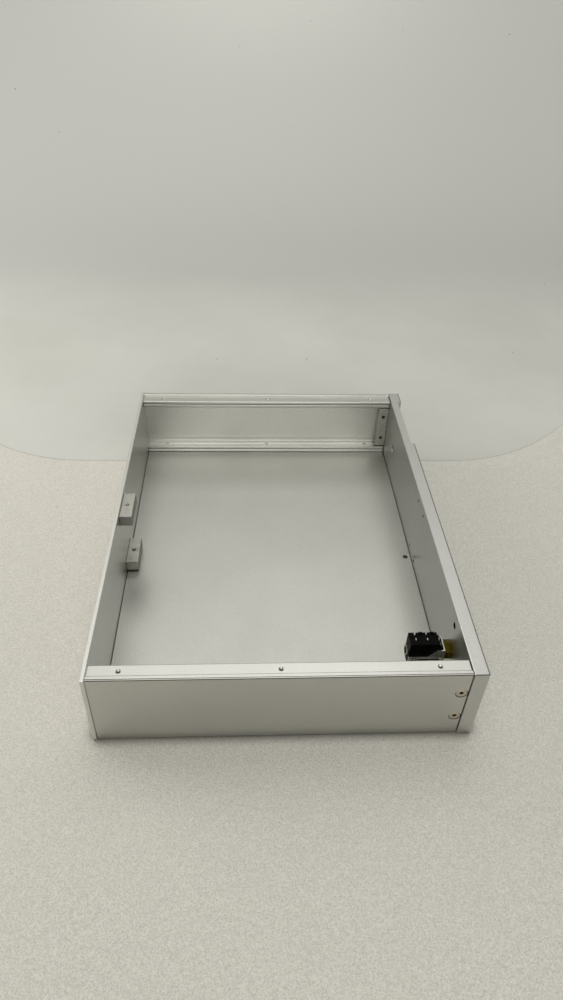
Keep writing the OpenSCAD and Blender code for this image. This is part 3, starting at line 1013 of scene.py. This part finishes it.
@dataclass
class TappedHoles:
    """The tapped holes that no screw fills: in the upper flanges and in the rear blocks.

    The flanges' holes stand over the bottom plate's screws. The upper flanges lie as far below the
    front panel's top as the bottom plate's upper side lies above its foot.
    """

    flange_thread: Thread = Thread(hole_r=1.4, pitch=0.5, length=6.9)
    upper_thread: Thread = Thread(hole_r=1.4, pitch=0.5, length=9.4)
    lower_thread: Thread = Thread(hole_r=1.8, pitch=0.7, length=9.4)

    def build(self, repeat: RepeatTree) -> None:
        """Lines each hole with its thread.

        Args:
            repeat: Tree that makes the copies.
        """
        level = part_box("front_panel")[1].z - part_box("bottom_plate")[1].z
        flanges = [self._mouth(box, level) for box in island_boxes("bottom_plate_screws")]
        upper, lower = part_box("upper_rear_block"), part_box("lower_rear_block")
        bare, anodised = (
            (MILLED_ALUMINIUM, "machined_aluminium"), (TAPPED_ALUMINIUM, "anodised_aluminium")
        )
        sets = [
            ("flange_threads", self.flange_thread, flanges, anodised),
            ("upper_block_thread", self.upper_thread, [self._mouth(upper, upper[1].z)], bare),
            ("lower_block_thread", self.lower_thread, [self._mouth(lower, lower[1].z)], bare),
        ]
        for name, thread, mouths, (finish, slot) in sets:
            places = [(mouth, Vector((0.0, 0.0, 1.0))) for mouth in mouths]
            mesh = repeat.mesh(name, thread.mesh(f"{name}_one"), places, finish)
            add_piece(name, mesh, finish)

    @staticmethod
    def _mouth(box: tuple[Vector, Vector], level: float) -> Vector:
        """Finds a hole's mouth over the middle of a solid.

        Args:
            box: Lowest and highest corner of the solid, in metres.
            level: Height of the mouth, in metres.

        Returns:
            Middle of the mouth.
        """
        middle = (box[0] + box[1]) / 2
        return Vector((middle.x, middle.y, level))


class Spot(NamedTuple):
    """Hole or nick with painted shade: its direction, a point on its axis in metres, a radius."""

    axis: Axis
    middle: Vector
    radius: float


@dataclass
class Walls:
    """The panels and plates that make the box, with the holes and nicks where shade is painted."""

    slot: str = "anodised_aluminium"
    finishes: tuple[tuple[str, Finish], ...] = (
        ("front_panel", BLASTED_ALUMINIUM),
        ("rear_panel", PALE_ALUMINIUM),
        ("left_side_panel", EXTRUDED_ALUMINIUM),
        ("right_side_panel", EXTRUDED_ALUMINIUM),
        ("bottom_plate", SHEET_ALUMINIUM),
    )
    crease_deg: float = 30.0
    sides: tuple[str, ...] = ("left_side_panel", "right_side_panel")
    front: str = "front_panel"
    side_screws: str = "side_screws"
    countersink_r: float = 4.7
    lamp_inset: float = 50.0
    lamp_rise: float = 22.5
    lamp_hole_r: float = 2.7
    nick_inset: float = 36.0
    nick_pitch: float = 15.4
    nick_count: int = 3
    nick_r: float = 0.8

    # Part of a face's direction along an axis from which it lies square to the axis
    SQUARE = 0.99

    def build(self) -> None:
        """Dresses each wall in its aluminium, and its holes and nicks in painted shade."""
        for node, finish in self.finishes:
            piece = finished_solid(node, finish, crease_deg=self.crease_deg)
            if node in self.sides:
                self._paint_hole_shade(piece.data, self._countersinks())
            elif node == self.front:
                self._paint_hole_shade(piece.data, self._front_spots())

    def _countersinks(self) -> list[Spot]:
        """Finds the countersinks of the side screws.

        Returns:
            One spot for each countersink.
        """
        boxes = island_boxes(self.side_screws)
        return [Spot(Axis.Y, (low + high) / 2, self.countersink_r) for low, high in boxes]

    def _front_spots(self) -> list[Spot]:
        """Finds the lamp hole and the nicks of the front panel.

        Returns:
            One spot for the hole and one for each nick in the upper front edge.
        """
        low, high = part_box(self.front)
        lamp_z = (low.z + high.z) / 2 + self.lamp_rise * MM
        lamp = Vector((high.x, low.y + self.lamp_inset * MM, lamp_z))
        insets = [self.nick_inset + i * self.nick_pitch for i in range(self.nick_count)]
        nicks = [Vector((high.x, low.y + inset * MM, high.z)) for inset in insets]
        spots = [Spot(Axis.X, lamp, self.lamp_hole_r)]
        return spots + [Spot(Axis.Z, nick, self.nick_r) for nick in nicks]

    def _paint_hole_shade(self, mesh: Mesh, spots: list[Spot]) -> None:
        """Gives the faces inside some holes and nicks a second, dark material as painted shade.

        Args:
            mesh: Mesh of a wall.
            spots: The holes and nicks.
        """
        mesh.materials.append(HOLE_SHADE.material())
        for spot in spots:
            for face in mesh.polygons:
                off = face.center - spot.middle
                off[spot.axis] = 0.0
                if off.length < spot.radius * MM and abs(face.normal[spot.axis]) < self.SQUARE:
                    face.material_index = 1


@dataclass
class FixingBlocks:
    """The square-bar blocks in the corners and at the rear panel."""

    slot: str = "machined_aluminium"
    nodes: tuple[str, ...] = (
        "left_corner_block", "right_corner_block", "upper_rear_block", "lower_rear_block",
    )

    def build(self) -> None:
        """Dresses each block in milled aluminium."""
        for node in self.nodes:
            finished_solid(node, MILLED_ALUMINIUM)


@dataclass
class HeadphoneJack:
    """The headphone jack: moulded body, steel frame and springs, brass bush and nut."""

    body_edge: float = 0.25
    sheet_edge: float = 0.12
    steel_slot: str = "plated_steel"
    steel: tuple[str, ...] = ("jack_frame", "jack_outer_nut", "jack_rear_ferrule")
    springs: tuple[str, ...] = (
        "jack_tip_contact", "jack_ring_contact", "jack_sleeve_contact", "jack_side_spring",
    )
    brass: tuple[str, ...] = ("jack_bush", "jack_inner_nut")

    def build(self) -> None:
        """Dresses the pieces of the jack."""
        finished_solid("jack_body", MOULDED_PLASTIC, self.body_edge)
        for node in self.steel:
            finished_solid(node, NICKEL_STEEL, self.sheet_edge)
        for node in self.springs:
            finished_solid(node, TINNED_SPRING, self.sheet_edge)
        finished_solid("jack_rivet", NICKEL_STEEL)
        for node in self.brass:
            finished_solid(node, TARNISHED_BRASS, self.sheet_edge)


@dataclass(frozen=True)
class SkyPatch:
    """One soft bright patch of the dome: its place, clockwise from behind, and its strength."""

    azimuth_deg: float
    elevation_deg: float
    strength: float
    half_deg: float = 32.0

    @property
    def direction(self) -> tuple[float, float, float]:
        """Direction from the chassis to the middle of the patch."""
        azimuth, elevation = math.radians(self.azimuth_deg), math.radians(self.elevation_deg)
        return (
            math.sin(azimuth) * math.cos(elevation),
            math.cos(azimuth) * math.cos(elevation),
            math.sin(elevation),
        )


class Lamp(NamedTuple):
    """One square soft lamp: its name, place, aim, size and power in watts."""

    name: str
    place: tuple[float, float, float]
    aim: tuple[float, float, float]
    size: float
    watts: float


@dataclass
class Studio:
    """Pale floor, a sheet that folds up behind the chassis, a soft dome, two lamps and the camera.

    The sheet's front edge is straight behind the chassis. Beside it the edge lies a little further
    forward, and runs back in a curve at both sides.
    """

    floor_half: float = 6000.0
    floor_front: float = -6000.0
    floor_back: float = 670.0
    floor_drop: float = 0.4
    behind_half: float = 140.0
    edge_y: float = 177.0
    edge_side_y: float = 149.0
    edge_straight: float = 195.0
    edge_back: float = 0.0034
    edge_step: float = 10.0
    edge_half: float = 600.0
    edge_to_bend: float = 10.0
    sheet_rise: float = 0.2
    bend_start: float = 660.0
    bend_r: float = 380.0
    bend_deg: float = 62.0
    bend_steps: int = 24
    wall_length: float = 1200.0
    camera_place: tuple[float, float, float] = (-26.98, -445.21, 434.62)
    camera_heading_deg: float = -3.883
    camera_tilt_deg: float = 50.619
    camera_roll_deg: float = 2.325
    camera_sight: float = 50000.0
    lens: float = 25.19
    lamp_colour: str = "#fffaf2"
    lamps: tuple[Lamp, ...] = (
        Lamp("side_softbox", (-950.0, 420.0, 420.0), (0.0, 0.0, 0.0), 600.0, 2.4),
        Lamp("backdrop_softbox", (0.0, 950.0, 700.0), (0.0, 1130.0, 480.0), 400.0, 0.65),
    )
    sky_colour: str = "#fdfcf7"
    patches: tuple[SkyPatch, ...] = (
        SkyPatch(0.0, 66.0, 1.52),
        SkyPatch(0.0, 40.0, 0.3),
        SkyPatch(45.0, 40.0, 0.5),
        SkyPatch(135.0, 40.0, 0.2),
        SkyPatch(180.0, 40.0, 1.5),
        SkyPatch(225.0, 40.0, 0.25),
        SkyPatch(315.0, 40.0, 0.3),
        SkyPatch(0.0, 14.0, 0.35),
        SkyPatch(45.0, 14.0, 0.35),
        SkyPatch(90.0, 14.0, 0.35),
        SkyPatch(135.0, 14.0, 0.35),
        SkyPatch(180.0, 14.0, 1.5),
        SkyPatch(225.0, 14.0, 0.8),
        SkyPatch(270.0, 14.0, 0.35),
        SkyPatch(315.0, 14.0, 0.35),
    )

    def build(self) -> None:
        """Makes floor, light and camera."""
        self._floor()
        for lamp in self.lamps:
            self._hang(lamp)
        self._sky()
        self._camera()

    def _floor(self) -> None:
        """Lays the floor and hangs the sheet behind it."""
        low = -self.floor_drop
        half = self.floor_half
        self._stage(
            "studio_floor", STUDIO_FOAM,
            [[(-half, y, low), (half, y, low)] for y in (self.floor_front, self.floor_back)],
        )
        low += self.sheet_rise
        steps = round(self.edge_half / self.edge_step)
        xs = [-half, *(self.edge_step * i for i in range(-steps, steps + 1)), half]
        rows = [[(x, self._edge(x), low) for x in xs]]
        for i in range(self.bend_steps + 1):
            angle = math.radians(self.bend_deg) * i / self.bend_steps
            y = self.bend_start + self.bend_r * math.sin(angle)
            z = low + self.bend_r * (1 - math.cos(angle))
            rows.append([(x, y, z) for x in xs])
        y += self.wall_length * math.cos(angle)
        z += self.wall_length * math.sin(angle)
        rows.append([(x, y, z) for x in xs])
        self._stage("studio_sheet", STUDIO_SHEET, rows)

    def _edge(self, x: float) -> float:
        """Finds the front edge of the sheet.

        Args:
            x: Place across the studio, in millimetres.

        Returns:
            Place of the edge along Y: behind the chassis, or beside it and running back.
        """
        if abs(x) < self.behind_half:
            return self.edge_y
        past = max(0.0, abs(x) - self.edge_straight)
        y = self.edge_side_y + self.edge_back * past * past
        return min(y, self.bend_start - self.edge_to_bend)

    @staticmethod
    def _stage(
        name: str, finish: Finish, rows: list[list[tuple[float, float, float]]]
    ) -> None:
        """Makes a sheet of the studio from rows of points.

        Args:
            name: Name of the sheet.
            finish: Finish that it gets.
            rows: Points in millimetres, row by row from the front to the back.
        """
        width = len(rows[0])
        verts = [tuple(v * MM for v in point) for row in rows for point in row]
        faces = [
            (i * width + j, i * width + j + 1, (i + 1) * width + j + 1, (i + 1) * width + j)
            for i in range(len(rows) - 1) for j in range(width - 1)
        ]
        mesh = bpy.data.meshes.new(name)
        mesh.from_pydata(verts, [], faces)
        mesh.materials.append(finish.material())
        mesh.shade_smooth()
        sheet = bpy.data.objects.new(name, mesh)
        bpy.context.scene.collection.objects.link(sheet)

    def _hang(self, lamp: Lamp) -> None:
        """Hangs one soft lamp.

        Args:
            lamp: Its place and light.
        """
        light = bpy.data.lights.new(lamp.name, "AREA")
        light.shape = "SQUARE"
        light.size = lamp.size * MM
        light.energy = lamp.watts
        light.color = linear(self.lamp_colour)[:3]
        holder = bpy.data.objects.new(lamp.name, light)
        place = Vector(lamp.place)
        holder.location = place * MM
        holder.rotation_euler = (Vector(lamp.aim) - place).to_track_quat("-Z", "Y").to_euler()
        holder.visible_camera = False
        bpy.context.scene.collection.objects.link(holder)

    def _sky(self) -> None:
        """Surrounds the studio with a dome of soft bright patches."""
        world = bpy.data.worlds.new("studio_dome")
        world.use_nodes = True
        tree = world.node_tree
        tree.nodes.clear()
        way = add_node(tree, "ShaderNodeTexCoord").outputs["Generated"]
        strength: Any = 0.0
        for patch in self.patches:
            nearness = add_node(
                tree, "ShaderNodeVectorMath", {0: way, 1: patch.direction}, operation="DOT_PRODUCT"
            ).outputs["Value"]
            rim = math.cos(math.radians(patch.half_deg))
            glow = spread(tree, nearness, (rim, 1.0), (0.0, patch.strength), curve="SMOOTHSTEP")
            strength = calculate(tree, "ADD", glow, strength)
        dome = add_node(
            tree, "ShaderNodeBackground", {"Color": linear(self.sky_colour), "Strength": strength}
        ).outputs["Background"]
        add_node(tree, "ShaderNodeOutputWorld", {"Surface": dome})
        bpy.context.scene.world = world

    def _camera(self) -> None:
        """Puts the camera where the photograph was taken from."""
        data = bpy.data.cameras.new("photo_camera")
        data.lens = self.lens
        data.clip_end = self.camera_sight * MM
        camera = bpy.data.objects.new("photo_camera", data)
        turn = (
            Matrix.Rotation(math.radians(self.camera_heading_deg), 4, "Z")
            @ Matrix.Rotation(math.radians(self.camera_tilt_deg), 4, "X")
            @ Matrix.Rotation(math.radians(self.camera_roll_deg), 4, "Z")
        )
        camera.matrix_world = Matrix.Translation(Vector(self.camera_place) * MM) @ turn
        bpy.context.scene.collection.objects.link(camera)
        bpy.context.scene.camera = camera


def main() -> None:
    """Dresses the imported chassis, sets the studio up and notes the sizes."""
    logging.basicConfig(level=logging.INFO, format="%(name)s: %(message)s")
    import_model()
    bpy.context.scene.view_settings.view_transform = "Standard"
    Studio().build()
    Walls().build()
    FixingBlocks().build()
    repeat = RepeatTree()
    Fasteners().build(repeat)
    TappedHoles().build(repeat)
    HeadphoneJack().build()


if __name__ == "__main__":
    main()
